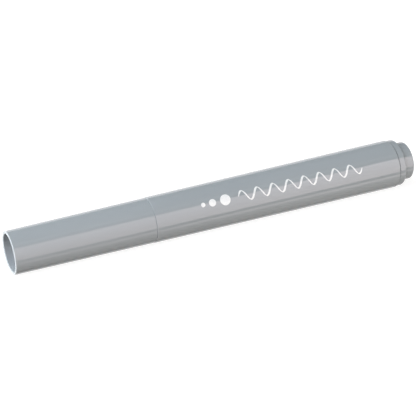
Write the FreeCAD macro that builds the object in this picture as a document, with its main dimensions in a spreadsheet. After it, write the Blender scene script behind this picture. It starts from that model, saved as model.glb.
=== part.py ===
# Felt tip marker: an open-ended cap, a tapered barrel with the nib holder and the ink reservoir inside,
# and a rear plug. The marker lies along X, cap towards -X. Every piece is turned about its own X axis,
# and its local X is 0 at the end nearer the cap's open end. Lengths are in millimetres.
import FreeCAD, Part
import os
import Sketcher
from types import SimpleNamespace

FULL_TURN = 360
EDGE_TOLERANCE = 0.005

# Driving sizes. Radii grow outwards from the nib and inwards from the barrel, through walls and
# named clearances.
SIZES = [
    ("barrel_length", 83.95, "barrel, from its front face to its rear face"),
    ("barrel_radius", 7.75, "outside of the barrel at its rear, the marker's largest radius"),
    ("barrel_taper", 0.58, "how much smaller the barrel's radius is at its front"),
    ("barrel_front_wall", 1.27, "wall around the nib holder's spigot"),
    ("barrel_rear_wall", 1.15, "wall around the end plug's sleeve"),
    ("barrel_bore_relief", 0.15, "the long bore is this much off the two seats at its ends"),
    ("barrel_front_round", 0.18, "rounding of the barrel's front edge"),
    ("barrel_rear_round", 0.3, "rounding of the barrel's rear edge"),
    ("rib_width", 0.8, "width of the inner ribs of barrel and cap"),
    ("rib_root", 0.15, "how far a rib is rooted in its wall"),
    ("rib_count", 6, "inner ribs of the barrel and of the cap"),
    ("cap_length", 44.7, "cap, from its open end to its mouth"),
    ("cap_mouth_wall", 0.89, "cap wall at the mouth"),
    ("cap_taper", 0.37, "how much smaller the cap's outside is at its open end"),
    ("cap_open_wall", 0.87, "cap wall at the open end"),
    ("cap_open_depth", 10.5, "depth of the open end's bore, up to the ribs"),
    ("cap_open_step", 0.25, "step inwards where the ribs begin"),
    ("cap_rim_round", 0.35, "rounding of both edges of the open end"),
    ("cap_mouth_round", 0.05, "rounding of the mouth's outer edge"),
    ("mouth_bore_depth", 11.0, "depth of the mouth's bore, up to the seal cup's seat"),
    ("seam_gap", 0.04, "hairline between the cap's mouth and the barrel"),
    ("cap_slide_gap", 0.1, "radial clearance of the cap on its seat collar"),
    ("press_gap", 0.02, "radial clearance of pieces that are pressed together"),
    ("seat_collar_step", 0.2, "shoulder that stops the nib holder at the barrel's front face"),
    ("seat_collar_length", 9.2, "collar that the cap's mouth sits on"),
    ("seal_collar_step", 1.7, "step down from the seat collar to the seal collar"),
    ("seal_collar_length", 6.0, "collar that the seal cup closes on"),
    ("bead_height", 0.07, "snap bead on the seat collar"),
    ("bead_width", 0.8, "snap bead along the axis"),
    ("bead_setback", 4.0, "snap bead's middle, in front of the barrel's front face"),
    ("groove_depth", 0.1, "snap groove in the cap's mouth bore"),
    ("groove_width", 1.3, "snap groove along the axis"),
    ("nose_length", 7.6, "nib holder's cone"),
    ("nose_wall", 0.75, "wall around the nib at the nose"),
    ("nose_shoulder", 0.3, "step from the cone to the seal collar"),
    ("nose_round", 0.3, "rounding of the nose's front edge"),
    ("holder_web", 2.0, "solid stretch behind the seal collar, before the air chamber"),
    ("holder_tube_wall", 0.9, "wall of the holder's inner tube around the nib"),
    ("holder_tube_length", 5.5, "inner tube, behind the barrel's front face"),
    ("spigot_length", 12.0, "nib holder's spigot inside the barrel"),
    ("spigot_wall", 1.0, "wall of the spigot"),
    ("nib_radius", 2.3, "fibre nib"),
    ("nib_gap", 0.05, "radial clearance of the nib in its holder"),
    ("nib_reach", 4.5, "nib in front of the nose"),
    ("nib_taper_length", 3.4, "bullet-shaped front of the nib"),
    ("nib_flat_radius", 1.15, "front of the nib before rounding"),
    ("nib_tip_round", 0.95, "rounding of the nib's front"),
    ("nib_shoulder_round", 3.0, "rounding where the bullet meets the rod"),
    ("nib_tail_depth", 5.0, "nib's tail inside the reservoir"),
    ("nib_tail_chamfer", 0.5, "chamfer of the nib's tail"),
    ("seal_gap", 0.05, "radial clearance of the seal cup's lip on the seal collar"),
    ("seal_lip_height", 0.1, "lip inside the seal cup's mouth"),
    ("seal_lip_width", 1.6, "lip along the axis"),
    ("cup_wall", 0.6, "wall of the seal cup"),
    ("cup_floor", 0.8, "closed end of the seal cup"),
    ("cup_length", 22.9, "seal cup with its flange"),
    ("cup_flange_thickness", 1.2, "flange that seats in the cap's mouth bore"),
    ("cup_floor_round", 0.6, "rounding of the seal cup's closed end"),
    ("air_notch_width", 2.2, "notches in the flange that let air pass"),
    ("reservoir_clearance", 0.35, "reservoir's film is this much smaller than the spigot's seat"),
    ("reservoir_end_gap", 0.2, "play of the reservoir at each end"),
    ("film_thickness", 0.15, "wrap around the reservoir's fibre"),
    ("film_gap", 0.01, "between the fibre and its wrap"),
    ("rib_gap", 0.03, "between the reservoir's film and the barrel's ribs"),
    ("plug_sleeve_length", 8.0, "end plug's sleeve inside the barrel"),
    ("sleeve_hold", 0.07, "how far the plug's sleeve reaches in over the end of the reservoir's wrap"),
    ("plug_wall", 1.1, "wall of the plug's stub"),
    ("plug_floor", 1.2, "closed end of the end plug"),
    ("plug_gap", 0.12, "hairline between the barrel and the plug's ring"),
    ("ring_step", 0.25, "the plug's ring is this much smaller than the barrel"),
    ("ring_length", 2.25, "ring along the axis"),
    ("ring_front_round", 0.12, "rounding of the ring's front edge"),
    ("ring_rear_round", 0.5, "rounding of the ring's rear edge"),
    ("stub_length", 3.6, "stub along the axis"),
    ("stub_gap", 0.1, "radial clearance of the stub in the cap's mouth bore, with the cap on the rear"),
    ("stub_round", 0.6, "rounding of the stub's end"),
]


class Size:
    """A length that carries both its value now and the formula that ties it to the spreadsheet."""

    def __init__(self, value, formula):
        self.value = value
        self.formula = formula

    def __add__(self, other):
        return Size(self.value + other.value, f"({self.formula} + {other.formula})")

    def __sub__(self, other):
        return Size(self.value - other.value, f"({self.formula} - {other.formula})")

    def __mul__(self, factor):
        return Size(self.value * factor, f"({self.formula} * {factor})")

    def __truediv__(self, divisor):
        return Size(self.value / divisor, f"({self.formula} / {divisor})")


doc = FreeCAD.newDocument("FeltTipMarker")
sheet = doc.addObject("Spreadsheet::Sheet", "Sizes")
size = SimpleNamespace()
for row, (alias, value, note) in enumerate(SIZES, start=1):
    sheet.set(f"A{row}", alias)
    sheet.set(f"B{row}", str(value))
    sheet.set(f"C{row}", note)
    sheet.setAlias(f"B{row}", alias)
    setattr(size, alias, Size(value, f"Sizes.{alias}"))
doc.recompute()

ZERO = Size(0, "0")

# Radii and places that several pieces share, from the driving sizes.
BARREL_FRONT_RADIUS = size.barrel_radius - size.barrel_taper
FRONT_SEAT_RADIUS = BARREL_FRONT_RADIUS - size.barrel_front_wall
REAR_SEAT_RADIUS = size.barrel_radius - size.barrel_rear_wall
LONG_BORE_FRONT_RADIUS = FRONT_SEAT_RADIUS + size.barrel_bore_relief
LONG_BORE_REAR_RADIUS = REAR_SEAT_RADIUS - size.barrel_bore_relief
SEAT_COLLAR_RADIUS = FRONT_SEAT_RADIUS + size.seat_collar_step
MOUTH_BORE_RADIUS = SEAT_COLLAR_RADIUS + size.cap_slide_gap
CAP_MOUTH_RADIUS = MOUTH_BORE_RADIUS + size.cap_mouth_wall
CAP_OPEN_RADIUS = CAP_MOUTH_RADIUS - size.cap_taper
OPEN_BORE_RADIUS = CAP_OPEN_RADIUS - size.cap_open_wall
CAP_INNER_RADIUS = OPEN_BORE_RADIUS - size.cap_open_step
SEAL_COLLAR_RADIUS = SEAT_COLLAR_RADIUS - size.seal_collar_step
SEAL_LIP_RADIUS = SEAL_COLLAR_RADIUS + size.seal_gap
CUP_BORE_RADIUS = SEAL_LIP_RADIUS + size.seal_lip_height
CUP_RADIUS = CUP_BORE_RADIUS + size.cup_wall
NIB_BORE_RADIUS = size.nib_radius + size.nib_gap
FILM_RADIUS = FRONT_SEAT_RADIUS - size.reservoir_clearance
FILM_BORE_RADIUS = FILM_RADIUS - size.film_thickness
CORE_RADIUS = FILM_BORE_RADIUS - size.film_gap

CUP_SEAT_X = size.cap_length - size.mouth_bore_depth
BARREL_X = size.cap_length + size.seam_gap
HOLDER_X = BARREL_X - size.seat_collar_length - size.seal_collar_length - size.nose_length
RESERVOIR_X = BARREL_X + size.spigot_length + size.reservoir_end_gap
RESERVOIR_ROOM = size.barrel_length - size.spigot_length - size.plug_sleeve_length
RESERVOIR_LENGTH = RESERVOIR_ROOM - size.reservoir_end_gap * 2
NIB_X = HOLDER_X - size.nib_reach
NIB_LENGTH = RESERVOIR_X + size.nib_tail_depth - NIB_X
PLUG_X = BARREL_X + size.barrel_length - size.plug_sleeve_length
OVERALL_LENGTH = BARREL_X + size.barrel_length + size.plug_gap + size.ring_length + size.stub_length


def origin_part(body, role):
    """The body's own origin plane or axis with that role."""
    return next(part for part in body.Origin.OriginFeatures if part.Role == role)


def new_body(label, start):
    """A body whose local X is 0 at the place start, measured from the cap's open end."""
    body = doc.addObject("PartDesign::Body", label)
    body.Label = label
    body.setExpression("Placement.Base.x", (start - OVERALL_LENGTH / 2).formula)
    body.setExpression("Placement.Base.z", size.barrel_radius.formula)
    return body


def fix_point(sketch, geometry, end, across, up):
    """Fixes a point of a sketch at the sizes across and up, measured from the sketch's origin."""
    for kind, axis, place in (("DistanceX", -2, across), ("DistanceY", -1, up)):
        if place is ZERO:
            sketch.addConstraint(Sketcher.Constraint("PointOnObject", geometry, end, axis))
        else:
            constraint = Sketcher.Constraint(kind, -1, 1, geometry, end, place.value)
            index = sketch.addConstraint(constraint)
            sketch.setExpression(f"Constraints[{index}]", place.formula)


def closed_outline(sketch, corners):
    """Straight lines from corner to corner and back to the first. A corner is a pair of sizes."""
    places = [FreeCAD.Vector(across.value, up.value, 0) for across, up in corners]
    count = len(corners)
    for i in range(count):
        sketch.addGeometry(Part.LineSegment(places[i], places[(i + 1) % count]), False)
    for i in range(count):
        sketch.addConstraint(Sketcher.Constraint("Coincident", i, 2, (i + 1) % count, 1))
        fix_point(sketch, i, 1, *corners[i])


def turned(body, name, corners):
    """A solid turned about the body's X axis from corners given as (along the axis, radius)."""
    sketch = body.newObject("Sketcher::SketchObject", name + "_section")
    sketch.AttachmentSupport = (origin_part(body, "XY_Plane"), [""])
    sketch.MapMode = "FlatFace"
    closed_outline(sketch, corners)
    doc.recompute()
    turn = body.newObject("PartDesign::Revolution", name)
    turn.Profile = sketch
    turn.ReferenceAxis = (sketch, ["H_Axis"])
    turn.Angle = FULL_TURN
    doc.recompute()
    return turn


def ring_edges(shape, rings):
    """Names of the circular edges at the given (along the axis, radius) places."""
    names = []
    for across, up in rings:
        place = FreeCAD.Vector(across.value, 0, 0)
        found = [
            f"Edge{i}"
            for i, edge in enumerate(shape.Edges, start=1)
            if isinstance(edge.Curve, Part.Circle)
            and edge.Curve.Center.distanceToPoint(place) < EDGE_TOLERANCE
            and abs(edge.Curve.Radius - up.value) < EDGE_TOLERANCE
        ]
        if not found:
            raise ValueError(f"no round edge at {across.value}, {up.value}")
        names += found
    return names


def rounded(body, name, radius, rings):
    """Rounds circular edges of the body's tip."""
    base = body.Tip
    fillet = body.newObject("PartDesign::Fillet", name)
    fillet.Base = (base, ring_edges(base.Shape, rings))
    fillet.setExpression("Radius", radius.formula)
    doc.recompute()
    return fillet


def cross_block(body, kind, name, start, low, high, width, length):
    """A pad or pocket from start along +X, between the radii low and high, repeated around the axis."""
    sketch = body.newObject("Sketcher::SketchObject", name + "_outline")
    sketch.AttachmentSupport = (origin_part(body, "YZ_Plane"), [""])
    sketch.MapMode = "FlatFace"
    sketch.setExpression("AttachmentOffset.Base.z", start.formula)
    half = width / 2
    closed_outline(sketch, [(low, ZERO - half), (high, ZERO - half), (high, half), (low, half)])
    doc.recompute()
    before = body.Tip.Shape.Volume
    block = body.newObject(f"PartDesign::{kind}", name)
    block.Profile = sketch
    block.Reversed = kind == "Pocket"
    block.setExpression("Length", length.formula)
    doc.recompute()
    grown = block.Shape.Volume - before
    if (grown > 0) != (kind == "Pad"):
        raise ValueError(f"{name} changed nothing")
    pattern = body.newObject("PartDesign::PolarPattern", name + "_all_round")
    pattern.Originals = [block]
    pattern.Axis = (origin_part(body, "X_Axis"), [""])
    pattern.Angle = FULL_TURN
    pattern.setExpression("Occurrences", size.rib_count.formula)
    body.Tip = pattern
    doc.recompute()
    return pattern


def make_cap_shell():
    body = new_body("cap_shell", ZERO)
    groove_middle = size.cap_length + size.seam_gap - size.bead_setback
    groove_front = groove_middle - size.groove_width / 2
    groove_rear = groove_middle + size.groove_width / 2
    groove_radius = MOUTH_BORE_RADIUS + size.groove_depth
    turned(body, "shell", [
        (ZERO, OPEN_BORE_RADIUS),
        (ZERO, CAP_OPEN_RADIUS),
        (size.cap_length, CAP_MOUTH_RADIUS),
        (size.cap_length, MOUTH_BORE_RADIUS),
        (groove_rear + size.groove_depth, MOUTH_BORE_RADIUS),
        (groove_rear, groove_radius),
        (groove_front, groove_radius),
        (groove_front - size.groove_depth, MOUTH_BORE_RADIUS),
        (CUP_SEAT_X, MOUTH_BORE_RADIUS),
        (CUP_SEAT_X, CAP_INNER_RADIUS),
        (size.cap_open_depth, CAP_INNER_RADIUS),
        (size.cap_open_depth, OPEN_BORE_RADIUS),
    ])
    rounded(body, "rim_round", size.cap_rim_round, [(ZERO, OPEN_BORE_RADIUS), (ZERO, CAP_OPEN_RADIUS)])
    rounded(body, "mouth_round", size.cap_mouth_round, [(size.cap_length, CAP_MOUTH_RADIUS)])
    cross_block(
        body, "Pad", "cup_rib", size.cap_open_depth,
        CUP_RADIUS + size.press_gap, CAP_INNER_RADIUS + size.rib_root,
        size.rib_width, CUP_SEAT_X - size.cap_open_depth,
    )
    return body


def make_cap_seal_cup():
    body = new_body("cap_seal_cup", CUP_SEAT_X + size.cup_flange_thickness - size.cup_length)
    flange_x = size.cup_length - size.cup_flange_thickness
    lip_x = size.cup_length - size.seal_lip_width
    flange_radius = MOUTH_BORE_RADIUS - size.press_gap
    turned(body, "cup", [
        (ZERO, ZERO),
        (ZERO, CUP_RADIUS),
        (flange_x, CUP_RADIUS),
        (flange_x, flange_radius),
        (size.cup_length, flange_radius),
        (size.cup_length, SEAL_LIP_RADIUS),
        (lip_x, SEAL_LIP_RADIUS),
        (lip_x - size.seal_lip_height, CUP_BORE_RADIUS),
        (size.cup_floor, CUP_BORE_RADIUS),
        (size.cup_floor, ZERO),
    ])
    rounded(body, "floor_round", size.cup_floor_round, [(ZERO, CUP_RADIUS)])
    cross_block(
        body, "Pocket", "air_notch", flange_x, CUP_RADIUS, flange_radius + size.rib_root,
        size.air_notch_width, size.cup_flange_thickness,
    )
    return body


def make_barrel():
    body = new_body("barrel", BARREL_X)
    front_seat_x = size.spigot_length + size.reservoir_end_gap
    rear_seat_x = size.barrel_length - size.plug_sleeve_length - size.reservoir_end_gap
    turned(body, "tube", [
        (ZERO, FRONT_SEAT_RADIUS),
        (ZERO, BARREL_FRONT_RADIUS),
        (size.barrel_length, size.barrel_radius),
        (size.barrel_length, REAR_SEAT_RADIUS),
        (rear_seat_x, REAR_SEAT_RADIUS),
        (rear_seat_x, LONG_BORE_REAR_RADIUS),
        (front_seat_x, LONG_BORE_FRONT_RADIUS),
        (front_seat_x, FRONT_SEAT_RADIUS),
    ])
    rounded(body, "front_round", size.barrel_front_round, [(ZERO, BARREL_FRONT_RADIUS)])
    rounded(body, "rear_round", size.barrel_rear_round, [(size.barrel_length, size.barrel_radius)])
    cross_block(
        body, "Pad", "reservoir_rib", front_seat_x,
        FILM_RADIUS + size.rib_gap, LONG_BORE_REAR_RADIUS + size.rib_root,
        size.rib_width, rear_seat_x - front_seat_x,
    )
    return body


def make_nib_holder():
    body = new_body("nib_holder", HOLDER_X)
    seal_x = size.nose_length
    seat_x = seal_x + size.seal_collar_length
    stop_x = seat_x + size.seat_collar_length
    end_x = stop_x + size.spigot_length
    chamber_x = seat_x + size.holder_web
    tube_x = stop_x + size.holder_tube_length
    bead_front = stop_x - size.bead_setback - size.bead_width / 2
    bead_rear = stop_x - size.bead_setback + size.bead_width / 2
    bead_radius = SEAT_COLLAR_RADIUS + size.bead_height
    spigot_radius = FRONT_SEAT_RADIUS - size.press_gap
    chamber_radius = spigot_radius - size.spigot_wall
    tube_radius = NIB_BORE_RADIUS + size.holder_tube_wall
    nose_radius = NIB_BORE_RADIUS + size.nose_wall
    turned(body, "holder", [
        (ZERO, NIB_BORE_RADIUS),
        (ZERO, nose_radius),
        (seal_x, SEAL_COLLAR_RADIUS - size.nose_shoulder),
        (seal_x + size.nose_shoulder, SEAL_COLLAR_RADIUS),
        (seat_x, SEAL_COLLAR_RADIUS),
        (seat_x, SEAT_COLLAR_RADIUS),
        (bead_front - size.bead_height, SEAT_COLLAR_RADIUS),
        (bead_front, bead_radius),
        (bead_rear, bead_radius),
        (bead_rear + size.bead_height, SEAT_COLLAR_RADIUS),
        (stop_x, SEAT_COLLAR_RADIUS),
        (stop_x, spigot_radius),
        (end_x, spigot_radius),
        (end_x, chamber_radius),
        (chamber_x, chamber_radius),
        (chamber_x, tube_radius),
        (tube_x, tube_radius),
        (tube_x, NIB_BORE_RADIUS),
    ])
    rounded(body, "nose_round", size.nose_round, [(ZERO, nose_radius)])
    rounded(body, "seat_round", size.nose_round, [(seat_x, SEAT_COLLAR_RADIUS)])
    return body


def make_nib():
    body = new_body("nib", NIB_X)
    turned(body, "rod", [
        (ZERO, ZERO),
        (ZERO, size.nib_flat_radius),
        (size.nib_taper_length, size.nib_radius),
        (NIB_LENGTH - size.nib_tail_chamfer, size.nib_radius),
        (NIB_LENGTH, size.nib_radius - size.nib_tail_chamfer),
        (NIB_LENGTH, ZERO),
    ])
    rounded(body, "tip_round", size.nib_tip_round, [(ZERO, size.nib_flat_radius)])
    rounded(body, "shoulder_round", size.nib_shoulder_round, [(size.nib_taper_length, size.nib_radius)])
    return body


def make_reservoir_core():
    body = new_body("reservoir_core", RESERVOIR_X)
    pocket_radius = size.nib_radius + size.press_gap
    pocket_depth = size.nib_tail_depth + size.press_gap
    turned(body, "fibre", [
        (ZERO, pocket_radius),
        (ZERO, CORE_RADIUS),
        (RESERVOIR_LENGTH, CORE_RADIUS),
        (RESERVOIR_LENGTH, ZERO),
        (pocket_depth, ZERO),
        (pocket_depth, pocket_radius),
    ])
    return body


def make_reservoir_film():
    body = new_body("reservoir_film", RESERVOIR_X)
    turned(body, "wrap", [
        (ZERO, FILM_BORE_RADIUS),
        (ZERO, FILM_RADIUS),
        (RESERVOIR_LENGTH, FILM_RADIUS),
        (RESERVOIR_LENGTH, FILM_BORE_RADIUS),
    ])
    return body


def make_end_plug():
    body = new_body("end_plug", PLUG_X)
    ring_front = size.plug_sleeve_length + size.plug_gap
    ring_rear = ring_front + size.ring_length
    end_x = ring_rear + size.stub_length
    sleeve_radius = REAR_SEAT_RADIUS - size.press_gap
    sleeve_bore = FILM_RADIUS - size.sleeve_hold
    ring_radius = size.barrel_radius - size.ring_step
    stub_radius = MOUTH_BORE_RADIUS - size.stub_gap
    stub_bore = stub_radius - size.plug_wall
    turned(body, "plug", [
        (ZERO, sleeve_bore),
        (ZERO, sleeve_radius),
        (ring_front, sleeve_radius),
        (ring_front, ring_radius),
        (ring_rear, ring_radius),
        (ring_rear, stub_radius),
        (end_x, stub_radius),
        (end_x, ZERO),
        (end_x - size.plug_floor, ZERO),
        (end_x - size.plug_floor, stub_bore),
        (ring_front, stub_bore),
        (ring_front, sleeve_bore),
    ])
    rounded(body, "ring_front_round", size.ring_front_round, [(ring_front, ring_radius)])
    rounded(body, "ring_rear_round", size.ring_rear_round, [(ring_rear, ring_radius)])
    rounded(body, "stub_round", size.stub_round, [(end_x, stub_radius)])
    return body


pieces = [
    make_cap_shell(),
    make_cap_seal_cup(),
    make_barrel(),
    make_nib_holder(),
    make_nib(),
    make_reservoir_core(),
    make_reservoir_film(),
    make_end_plug(),
]
doc.recompute()

for item in doc.Objects:
    if "Invalid" in item.State or "Error" in item.State:
        raise RuntimeError(f"{item.Name} failed: {item.State}")
for body in pieces:
    if body.Shape.isNull() or not body.Shape.isValid() or len(body.Shape.Solids) != 1:
        raise RuntimeError(f"{body.Label} is not one valid solid")

os.makedirs("parts", exist_ok=True)
for body in pieces:
    body.Shape.exportStep(f"parts/{body.Label}.step")
    print(f"{body.Label}: {body.Shape.Volume:.1f} cubic mm")
print(f"overall length {OVERALL_LENGTH.value:.2f} mm")
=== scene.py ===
import math

import bpy
from mathutils import Matrix, Vector, noise


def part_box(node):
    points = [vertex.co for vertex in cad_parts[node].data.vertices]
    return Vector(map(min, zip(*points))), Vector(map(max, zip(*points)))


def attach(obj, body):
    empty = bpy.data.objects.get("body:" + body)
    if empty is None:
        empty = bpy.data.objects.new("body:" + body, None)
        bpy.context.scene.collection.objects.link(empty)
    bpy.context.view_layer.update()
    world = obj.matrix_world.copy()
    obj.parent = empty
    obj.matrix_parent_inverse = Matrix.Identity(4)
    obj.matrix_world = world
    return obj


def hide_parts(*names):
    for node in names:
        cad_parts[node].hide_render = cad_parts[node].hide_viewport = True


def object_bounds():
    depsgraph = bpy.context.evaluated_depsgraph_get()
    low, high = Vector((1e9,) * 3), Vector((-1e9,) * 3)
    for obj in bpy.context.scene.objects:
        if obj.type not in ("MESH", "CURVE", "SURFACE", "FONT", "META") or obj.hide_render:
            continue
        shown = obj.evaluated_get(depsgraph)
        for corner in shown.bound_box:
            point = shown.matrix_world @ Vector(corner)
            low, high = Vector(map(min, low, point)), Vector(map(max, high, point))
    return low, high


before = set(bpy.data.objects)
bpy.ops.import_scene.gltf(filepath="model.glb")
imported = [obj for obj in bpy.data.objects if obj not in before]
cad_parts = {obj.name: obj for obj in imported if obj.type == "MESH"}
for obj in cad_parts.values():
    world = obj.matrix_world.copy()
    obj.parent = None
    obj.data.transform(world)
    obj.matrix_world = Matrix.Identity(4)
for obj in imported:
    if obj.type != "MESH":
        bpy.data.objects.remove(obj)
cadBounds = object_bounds()
print("frame loaded")

scene = bpy.context.scene
mm = 0.001


def addObject(name, data):
    made = bpy.data.objects.new(name, data)
    scene.collection.objects.link(made)
    return made


# Where things are, from the frame
barrelLow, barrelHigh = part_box("barrel")
nibLow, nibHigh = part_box("nib")
axisHeight = (barrelLow.z + barrelHigh.z) / 2
middle = Vector(((cadBounds[0].x + cadBounds[1].x) / 2, 0, axisHeight))

camera = {
    "azimuth": 23.558,    # degrees to the left of straight on
    "elevation": 32.704,  # degrees above the table
    "distance": 0.4826,   # to the aim point
    "aim": Vector((-0.00318, -0.00084, 0.00775)),
    "lens": 134.507,      # mm, as is the sensor's width
    "sensor": 36,
    "nearest": 0.01,
    "farthest": 20,
}


def makeCamera():
    data = bpy.data.cameras.new("camera")
    data.lens = camera["lens"]
    data.sensor_width = camera["sensor"]
    data.clip_start = camera["nearest"]
    data.clip_end = camera["farthest"]
    cam = addObject("camera", data)
    azimuth = math.radians(camera["azimuth"])
    elevation = math.radians(camera["elevation"])
    back = Vector((-math.sin(azimuth) * math.cos(elevation),
                   -math.cos(azimuth) * math.cos(elevation),
                   math.sin(elevation)))
    cam.location = camera["aim"] + back * camera["distance"]
    cam.rotation_mode = "QUATERNION"
    cam.rotation_quaternion = (-back).to_track_quat("-Z", "Y")
    scene.camera = cam


makeCamera()


# Materials

class Tree:    # shorthand for wiring one material
    def __init__(self, name):
        self.material = bpy.data.materials.new(name)
        self.material.use_nodes = True
        self.nodes = self.material.node_tree.nodes
        self.links = self.material.node_tree.links
        self.shader = self.nodes["Principled BSDF"]
        self.place = self.nodes.new("ShaderNodeTexCoord").outputs["Object"]

    def set(self, **values):
        for socket, value in values.items():
            self.shader.inputs[socket.replace("_", " ")].default_value = value

    def join(self, source, socket):
        self.links.new(source, self.shader.inputs[socket])

    def stretched(self, scale):
        node = self.nodes.new("ShaderNodeMapping")
        node.inputs["Scale"].default_value = scale
        self.links.new(self.place, node.inputs["Vector"])
        return node.outputs["Vector"]

    def noise(self, scale, detail=2.0, rough=0.5, stretch=(1, 1, 1)):
        node = self.nodes.new("ShaderNodeTexNoise")
        node.inputs["Scale"].default_value = scale
        node.inputs["Detail"].default_value = detail
        node.inputs["Roughness"].default_value = rough
        self.links.new(self.stretched(stretch), node.inputs["Vector"])
        return node.outputs["Fac"]

    def ramp(self, factor, low, high, start=0.0, end=1.0):
        node = self.nodes.new("ShaderNodeValToRGB")
        node.color_ramp.elements[0].position = start
        node.color_ramp.elements[1].position = end
        node.color_ramp.elements[0].color = (*low, 1)
        node.color_ramp.elements[1].color = (*high, 1)
        self.links.new(factor, node.inputs["Fac"])
        return node.outputs["Color"]

    def spread(self, factor, low, high, start=0.0, end=1.0):
        node = self.nodes.new("ShaderNodeMapRange")
        node.inputs["From Min"].default_value = start
        node.inputs["From Max"].default_value = end
        node.inputs["To Min"].default_value = low
        node.inputs["To Max"].default_value = high
        self.links.new(factor, node.inputs["Value"])
        return node.outputs["Result"]

    def bump(self, height, depth):
        node = self.nodes.new("ShaderNodeBump")
        node.inputs["Strength"].default_value = 1.0
        node.inputs["Distance"].default_value = depth
        self.links.new(height, node.inputs["Height"])
        return node.outputs["Normal"]


def greyPlastic():
    look = {"deep": (0.300, 0.322, 0.338), "pale": (0.312, 0.334, 0.350),
            "smooth": 0.03, "worn": 0.06, "ripple": 0.004 * mm}
    t = Tree("greyPlastic")
    # Faint streaks along the moulding flow
    flow = t.noise(scale=90, detail=3, rough=0.55, stretch=(0.25, 1, 1))
    t.join(t.ramp(flow, look["deep"], look["pale"], start=0.35, end=0.65), "Base Color")
    # Where it has been handled
    handling = t.noise(scale=260, detail=4, rough=0.6)
    t.join(t.spread(handling, look["smooth"], look["worn"], start=0.4, end=0.75), "Roughness")
    # The slight sink of a moulded wall
    ripple = t.noise(scale=140, detail=1, rough=0.4, stretch=(0.12, 1, 1))
    t.join(t.bump(ripple, depth=look["ripple"]), "Normal")
    t.set(IOR=1.5)
    return t.material


def naturalPlastic(name, colour, shade, rough):
    t = Tree(name)
    cloud = t.noise(scale=150, detail=3, stretch=(0.4, 1, 1))
    t.join(t.ramp(cloud, shade, colour, start=0.3, end=0.7), "Base Color")
    wear = t.noise(scale=500, detail=3, rough=0.6)
    t.join(t.spread(wear, rough, rough + 0.12, start=0.35, end=0.7), "Roughness")
    t.join(t.bump(t.noise(scale=900), depth=0.006 * mm), "Normal")
    t.set(Subsurface_Weight=0.15, Subsurface_Scale=0.6 * mm)
    t.shader.inputs["Subsurface Radius"].default_value = (1.0, 0.95, 0.9)
    return t.material


def fibre(name, dark, light, strand, depth):
    t = Tree(name)
    # Bonded strands run along the rod
    strands = t.noise(strand, detail=4, rough=0.65, stretch=(0.03, 1, 1))
    stain = t.ramp(t.noise(scale=300), (0.78, 0.78, 0.8), (1, 1, 1), start=0.3, end=0.7)
    colour = t.ramp(strands, dark, light, start=0.3, end=0.72)
    mix = t.nodes.new("ShaderNodeMix")
    mix.data_type = "RGBA"
    mix.blend_type = "MULTIPLY"
    mix.inputs["Factor"].default_value = 1.0
    t.links.new(colour, mix.inputs["A"])
    t.links.new(stain, mix.inputs["B"])
    t.join(mix.outputs["Result"], "Base Color")
    t.join(t.spread(strands, low=0.75, high=0.95), "Roughness")
    t.join(t.bump(strands, depth), "Normal")
    t.set(Sheen_Weight=0.25, Sheen_Roughness=0.5)
    return t.material


def clearFilm():
    t = Tree("clearFilm")
    crinkle = t.noise(scale=400, detail=3, rough=0.6, stretch=(0.2, 1, 1))
    tint = t.ramp(crinkle, (0.75, 0.77, 0.79), (0.85, 0.86, 0.87), start=0.3, end=0.7)
    t.join(tint, "Base Color")
    t.join(t.spread(crinkle, low=0.08, high=0.2), "Roughness")
    t.join(t.bump(crinkle, depth=0.02 * mm), "Normal")
    t.set(Alpha=0.45)
    return t.material


def whiteInk():
    t = Tree("whiteInk")
    cover = t.noise(scale=2500, detail=3, rough=0.6)
    tint = t.ramp(cover, (0.66, 0.67, 0.68), (0.74, 0.74, 0.74), start=0.25, end=0.6)
    t.join(tint, "Base Color")
    t.join(t.spread(cover, low=0.32, high=0.45), "Roughness")
    t.join(t.bump(cover, depth=0.002 * mm), "Normal")
    return t.material


finishes = {
    "cap_shell": greyPlastic(),
    "cap_seal_cup": naturalPlastic("linerPlastic", (0.58, 0.59, 0.58), (0.53, 0.54, 0.54), 0.38),
    "nib_holder": naturalPlastic("holderPlastic", (0.62, 0.63, 0.62), (0.57, 0.58, 0.58), 0.22),
    "nib": fibre("nibFibre", (0.05, 0.052, 0.056), (0.17, 0.175, 0.185), 2600, 0.03 * mm),
    "reservoir_core": fibre("inkFibre", (0.05, 0.052, 0.058), (0.13, 0.135, 0.145), 1400, 0.05 * mm),
    "reservoir_film": clearFilm(),
}
finishes["barrel"] = finishes["end_plug"] = finishes["cap_shell"]


def finishNode(name):
    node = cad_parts[name]
    node.data.materials.clear()
    node.data.materials.append(finishes[name])


for nodeName in finishes:
    finishNode(nodeName)
print("materials done")


# The white print on the barrel

whitePrint = {
    "angle": 41,              # degrees above the front, round the barrel, where its middle is
    "thickness": 0.02 * mm,
    "sunk": 0.02 * mm,        # under the barrel's skin, so that no gap shows
    "dots": [(-6.8 * mm, 0.7 * mm), (-3.7 * mm, 1.15 * mm), (0.6 * mm, 1.7 * mm)],   # place, radius
    "dotRings": 6,
    "dotSteps": 48,
    "waveStart": 5 * mm,
    "waveEnd": 48 * mm,
    "waves": 8,
    "waveHeight": 1.65 * mm,
    "waveSteps": 40,          # for each wave
    "thin": 0.22 * mm,        # the stroke of a chisel tip held at an angle
    "thick": 0.62 * mm,
    "chiselAngle": -35,
    "tipLength": 1.0 * mm,    # over which the stroke's ends narrow
    "tipWidth": 0.1,          # the share of the width left at the very end
    "rimReach": 5 * mm,       # how far in from the barrel's ends its widest points may lie
}


def widestPoint(nodeName, fromX, toX):    # place along X and radius
    best = (0, 0)
    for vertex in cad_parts[nodeName].data.vertices:
        radius = math.hypot(vertex.co.y, vertex.co.z - axisHeight)
        if fromX <= vertex.co.x <= toX and radius > best[1]:
            best = (vertex.co.x, radius)
    return best


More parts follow.
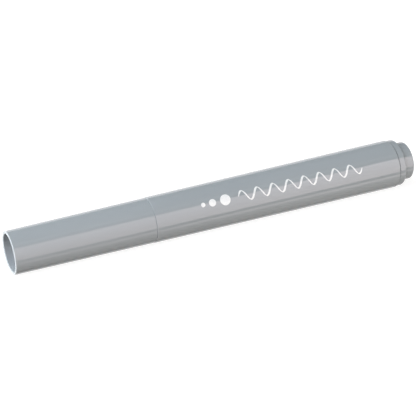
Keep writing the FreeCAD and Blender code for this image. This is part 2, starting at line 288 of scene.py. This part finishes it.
barrelFront = widestPoint("barrel", barrelLow.x, barrelLow.x + whitePrint["rimReach"])
barrelRear = widestPoint("barrel", barrelHigh.x - whitePrint["rimReach"], barrelHigh.x)
barrelTaper = (barrelRear[1] - barrelFront[1]) / (barrelRear[0] - barrelFront[0])


def onBarrel(along, around, lift):
    skin = barrelFront[1] + barrelTaper * (along - barrelFront[0])
    angle = math.radians(whitePrint["angle"]) + around / skin
    return (along, -(skin + lift) * math.cos(angle), axisHeight + (skin + lift) * math.sin(angle))


def addDot(points, faces, along, radius):
    rings, steps = whitePrint["dotRings"], whitePrint["dotSteps"]
    sides = []
    for lift in (whitePrint["thickness"], -whitePrint["sunk"]):
        first = len(points)
        sides.append(first)
        points.append(onBarrel(along, 0, lift))
        for ring in range(1, rings + 1):
            for step in range(steps):
                turn = 2 * math.pi * step / steps
                reach = radius * ring / rings
                points.append(onBarrel(along + reach * math.cos(turn), reach * math.sin(turn), lift))
    for step in range(steps):
        after = (step + 1) % steps
        for first, flip in zip(sides, (False, True)):
            new = [(first, first + 1 + step, first + 1 + after)]
            for ring in range(rings - 1):
                inner, outer = first + 1 + ring * steps, first + 1 + (ring + 1) * steps
                new.append((inner + step, outer + step, outer + after, inner + after))
            faces.extend(face[::-1] if flip else face for face in new)
        top, under = (first + 1 + (rings - 1) * steps for first in sides)
        faces.append((top + after, top + step, under + step, under + after))


def addWave(points, faces):
    look = whitePrint
    count = look["waves"] * look["waveSteps"]
    length = look["waveEnd"] - look["waveStart"]
    pitch = 2 * math.pi * look["waves"] / length
    first = len(points)
    for i in range(count + 1):
        along = length * i / count
        around = look["waveHeight"] * math.sin(pitch * along)
        heading = math.atan(look["waveHeight"] * pitch * math.cos(pitch * along))
        slant = abs(math.sin(heading - math.radians(look["chiselAngle"])))
        width = look["thin"] + (look["thick"] - look["thin"]) * slant
        nearEnd = min(along, length - along) / look["tipLength"]
        width *= max(look["tipWidth"], math.sqrt(min(1, nearEnd)))
        across = (-math.sin(heading) * width / 2, math.cos(heading) * width / 2)
        middleAt = look["waveStart"] + along
        for side, lift in ((-1, -look["sunk"]), (-1, look["thickness"]),
                           (1, look["thickness"]), (1, -look["sunk"])):
            points.append(onBarrel(middleAt + side * across[0], around + side * across[1], lift))
    for i in range(count):
        here, there = first + 4 * i, first + 4 * (i + 1)
        for corner in range(4):
            after = (corner + 1) % 4
            faces.append((here + corner, there + corner, there + after, here + after))
    faces.append((first, first + 1, first + 2, first + 3))
    faces.append(tuple(first + 4 * count + corner for corner in (3, 2, 1, 0)))


sharpEdge = math.radians(40)


def newPiece(name, points, faces, material, body):
    mesh = bpy.data.meshes.new(name)
    mesh.from_pydata(points, [], faces)
    mesh.validate()
    mesh.shade_smooth()
    mesh.set_sharp_from_angle(angle=sharpEdge)
    mesh.materials.append(material)
    piece = addObject(name, mesh)
    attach(piece, body)
    return piece


def makePrint():
    points, faces = [], []
    for along, radius in whitePrint["dots"]:
        addDot(points, faces, along, radius)
    addWave(points, faces)
    newPiece("barrel_print", points, faces, whiteInk(), "body")


makePrint()
print("print done")


# The fibre nib

nibLook = {
    "bullet": 3.74 * mm,      # length of its rounded front
    "fullness": 1.8,          # higher is a blunter tip
    "sharpness": 0.444,
    "tail": 0.5 * mm,         # chamfer at its rear
    "columns": 180,
    "rows": 90,
    "strands": 26,            # bundles of fibre, round the nib
    "groove": 0.045 * mm,     # depth between them
    "wander": 0.16,           # how fast they wander, for each mm
    "bundleShare": 0.65,      # of the grooves' depth, the rest being finer strands
    "finer": 3.1,             # how many times finer those are
    "deepest": 0.15,          # share of the radius that a groove may take, near the tip
    "frontRows": 0.7,         # share of the rows that are packed towards the tip
    "rearSpread": 1.6,        # how fast the others move apart
}


def nibRadius(along):
    look = nibLook
    full = (nibHigh.z - nibLow.z) / 2
    left = nibHigh.x - nibLow.x - along
    if along < look["bullet"]:
        bulge = 1 - (1 - along / look["bullet"]) ** look["fullness"]
        return full * bulge ** look["sharpness"]
    return full - max(0, look["tail"] - left)


def strandDepth(along, angle):
    look = nibLook
    reach = look["strands"] / 2
    place = Vector((reach * math.cos(angle), reach * math.sin(angle), along / mm * look["wander"]))
    coarse = 0.5 + 0.5 * noise.noise(place)
    fine = 0.5 + 0.5 * noise.noise(place * look["finer"])
    return look["groove"] * (look["bundleShare"] * coarse + (1 - look["bundleShare"]) * fine)


def makeNib():
    look = nibLook
    length = nibHigh.x - nibLow.x
    columns, rows = look["columns"], look["rows"]
    front = look["frontRows"]
    start = look["bullet"] * front ** 2
    points = [(nibLow.x, 0, axisHeight)]
    for row in range(1, rows + 1):
        share = row / rows
        if row < rows * front:
            along = look["bullet"] * share ** 2
        else:
            further = (share - front) / (1 - front)
            along = start + (length - start) * further ** look["rearSpread"]
        radius = nibRadius(along)
        for column in range(columns):
            angle = 2 * math.pi * column / columns
            depth = min(strandDepth(along, angle), look["deepest"] * radius)
            points.append((nibLow.x + along, (radius - depth) * math.cos(angle),
                           axisHeight + (radius - depth) * math.sin(angle)))
    points.append((nibHigh.x, 0, axisHeight))
    last = len(points) - 1
    faces = []
    for column in range(columns):
        after = (column + 1) % columns
        faces.append((0, 1 + after, 1 + column))
        for row in range(rows - 1):
            here, there = 1 + row * columns, 1 + (row + 1) * columns
            faces.append((here + column, here + after, there + after, there + column))
        here = 1 + (rows - 1) * columns
        faces.append((here + column, here + after, last))
    nib = newPiece("fibre_nib", points, faces, finishes["nib"], "body")
    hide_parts("nib")


makeNib()
print("nib done")


# The table and the light

table = {"half": 3.0, "paper": 0.35, "glow": 0.82}   # glow: how much of its white comes from below


def tableSurface():
    t = Tree("tableSurface")
    paper = table["paper"]
    t.join(t.ramp(t.noise(scale=12), (0.98 * paper,) * 3, (paper,) * 3), "Base Color")
    t.set(Roughness=0.6, Specular_IOR_Level=0.2, Emission_Color=(1, 1, 1, 1),
          Emission_Strength=table["glow"])
    return t.material


def makeTable():
    half = table["half"]
    mesh = bpy.data.meshes.new("table")
    mesh.from_pydata([(-half, -half, 0), (half, -half, 0), (half, half, 0), (-half, half, 0)],
                     [], [(0, 1, 2, 3)])
    top = addObject("table", mesh)
    mesh.materials.append(tableSurface())
    top.rotation_euler.y = math.atan(barrelTaper)   # the tapered barrel lies along it
    top.location.z = barrelTaper * barrelRear[0]
    top.visible_glossy = False    # the cards below stand in for it in reflections,
    top.visible_diffuse = False   # and the fills for the light that it throws back,
    top.visible_shadow = False    # some of them from below it


# Angles are measured up from the front horizon, across the marker, in degrees.
# A fill only lights the marker, and a card is only seen in its gloss.
fills = {    # shift: how far the middle lies along X
    "lowFill": {"angle": -50, "shift": 0.5, "length": 0.8, "light": (1.30, 1.05, 1.15)},
    "frontFill": {"angle": 10, "shift": 0.5, "length": 0.8, "light": (3.85, 3.90, 3.65)},
    "highFill": {"angle": 60, "shift": -1.5, "length": 2.4, "light": (4.05, 3.98, 4.25)},
    "topFill": {"angle": 110, "shift": -1.5, "length": 2.4, "light": (1.56, 2.12, 2.48)},
    "backFill": {"angle": 160, "shift": -1.5, "length": 2.4, "light": (4.35, 4.28, 3.95)},
}
cards = {   # across: brightness at the lower edge, and along: growth for each metre along X
    "floorCard": {"from": -145, "to": -105, "light": (1.0, 1.0, 1.0), "across": 1, "along": 0},
    "lowCard": {"from": -100, "to": -43, "light": (0.35, 0.34, 0.31), "across": 0.4, "along": 1.6},
    "lowStrip": {"from": -41, "to": -28, "light": (1.14, 1.03, 1.03), "across": 0.8, "along": 1.7},
    "frontCard": {"from": -15, "to": 50, "light": (2.15, 1.82, 1.84), "across": 0.84, "along": 1.2},
    "thinStrip": {"from": 64, "to": 74, "light": (0.90, 1.00, 1.00), "across": 1, "along": -0.9},
    "horizonCard": {"from": 165, "to": 205, "light": (1.15, 1.10, 1.10), "across": 1, "along": 0},
}
ends = {    # lamps beyond the ends of the marker
    "openEndLight": {"towards": Vector((-0.98, 0.16, -0.06)).normalized(), "size": 0.5, "light": 36},
    "rearEndLight": {"towards": Vector((0.98, 0.10, -0.15)).normalized(), "size": 0.5, "light": 12},
}
studio = {"away": 1.2, "cardLength": 3.0, "fillArc": 50, "room": (0.12, 0.11, 0.09)}


def outwards(degrees):    # from the marker's axis
    angle = math.radians(degrees)
    return Vector((0, -math.cos(angle), math.sin(angle)))


def widthOf(arc):
    return 2 * studio["away"] * math.tan(math.radians(arc) / 2)


def makeLamp(name, size, light, towards, shift=0):
    data = bpy.data.lights.new(name, "AREA")
    data.shape = "RECTANGLE"
    data.size, data.size_y = size
    data.energy = light * math.pi * data.size * data.size_y
    lamp = addObject(name, data)
    lamp.location = middle + towards * studio["away"]
    lamp.location.x += shift
    lamp.rotation_mode = "QUATERNION"
    lamp.rotation_quaternion = towards.to_track_quat("Z", "Y")
    lamp.visible_camera = False
    lamp.visible_glossy = False
    return data


def makeFill(name, fill):
    strongest = max(fill["light"])
    size = (fill["length"], widthOf(studio["fillArc"]))
    data = makeLamp(name, size, strongest, outwards(fill["angle"]), fill["shift"])
    data.color = [c / strongest for c in fill["light"]]


def cardSurface(name, card, halfWidth):
    material = bpy.data.materials.new(name)
    material.use_nodes = True
    nodes, links = material.node_tree.nodes, material.node_tree.links
    nodes.clear()
    place = nodes.new("ShaderNodeTexCoord").outputs["Object"]
    split = nodes.new("ShaderNodeSeparateXYZ")
    links.new(place, split.inputs["Vector"])
    grow = nodes.new("ShaderNodeMapRange")
    grow.inputs["From Min"].default_value = 0.0
    grow.inputs["To Min"].default_value = 1.0
    grow.inputs["To Max"].default_value = 1.0 + card["along"]
    links.new(split.outputs["X"], grow.inputs["Value"])
    fade = nodes.new("ShaderNodeMapRange")
    fade.inputs["From Min"].default_value = -halfWidth
    fade.inputs["From Max"].default_value = halfWidth
    fade.inputs["To Min"].default_value = card["across"]
    links.new(split.outputs["Y"], fade.inputs["Value"])
    both = nodes.new("ShaderNodeMath")
    both.operation = "MULTIPLY"
    links.new(grow.outputs["Result"], both.inputs[0])
    links.new(fade.outputs["Result"], both.inputs[1])
    shine = nodes.new("ShaderNodeEmission")
    shine.inputs["Color"].default_value = (*card["light"], 1)
    links.new(both.outputs["Value"], shine.inputs["Strength"])
    end = nodes.new("ShaderNodeOutputMaterial")
    links.new(shine.outputs["Emission"], end.inputs["Surface"])
    return material


def makeCard(name, card):
    halfLength = studio["cardLength"] / 2
    halfWidth = widthOf(card["to"] - card["from"]) / 2
    mesh = bpy.data.meshes.new(name)
    mesh.from_pydata([(-halfLength, -halfWidth, 0), (halfLength, -halfWidth, 0),
                      (halfLength, halfWidth, 0), (-halfLength, halfWidth, 0)], [], [(0, 1, 2, 3)])
    panel = addObject(name, mesh)
    mesh.materials.append(cardSurface(name, card, halfWidth))
    out = outwards((card["from"] + card["to"]) / 2)
    up = Vector((0, out.z, -out.y))
    turn = Matrix((Vector((1, 0, 0)), up, out)).transposed().to_4x4()
    panel.matrix_world = Matrix.Translation(middle + out * studio["away"]) @ turn
    panel.visible_camera = False
    panel.visible_diffuse = False
    panel.visible_shadow = False


def makeRoom():
    world = bpy.data.worlds.new("room")
    scene.world = world
    world.use_nodes = True
    world.node_tree.nodes["Background"].inputs["Color"].default_value = (*studio["room"], 1)


makeTable()
for name, fill in fills.items():
    makeFill(name, fill)
for name, card in cards.items():
    makeCard(name, card)
for name, end in ends.items():
    makeLamp(name, (end["size"], end["size"]), end["light"], end["towards"])
makeRoom()
scene.view_settings.view_transform = "Standard"
scene.view_settings.look = "None"
print("studio done")
